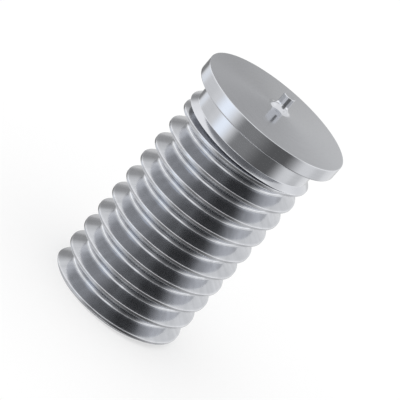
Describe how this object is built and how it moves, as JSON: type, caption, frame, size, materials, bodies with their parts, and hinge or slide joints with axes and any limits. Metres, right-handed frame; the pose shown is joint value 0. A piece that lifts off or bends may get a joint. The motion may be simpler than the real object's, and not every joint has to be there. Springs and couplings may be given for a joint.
{
  "type": "weld stud",
  "caption": "Threaded capacitor discharge weld stud with a round flange, a shallow conical weld face and a small ignition tip, right-hand metric thread.",
  "frame": {"origin": "centre of the flat threaded end, which the stud stands on", "axes": "+Z along the stud's axis from the threaded end to the weld face and tip, -Y is the front that the picture shows"},
  "size_m": [0.009, 0.009, 0.0152],
  "materials": {
    "stud_metal": "bright cold-formed stainless steel, satin, turned lay on the weld face"
  },
  "bodies": {
    "root": {"weld_stud": "stud_metal"}
  },
  "joints": []
}
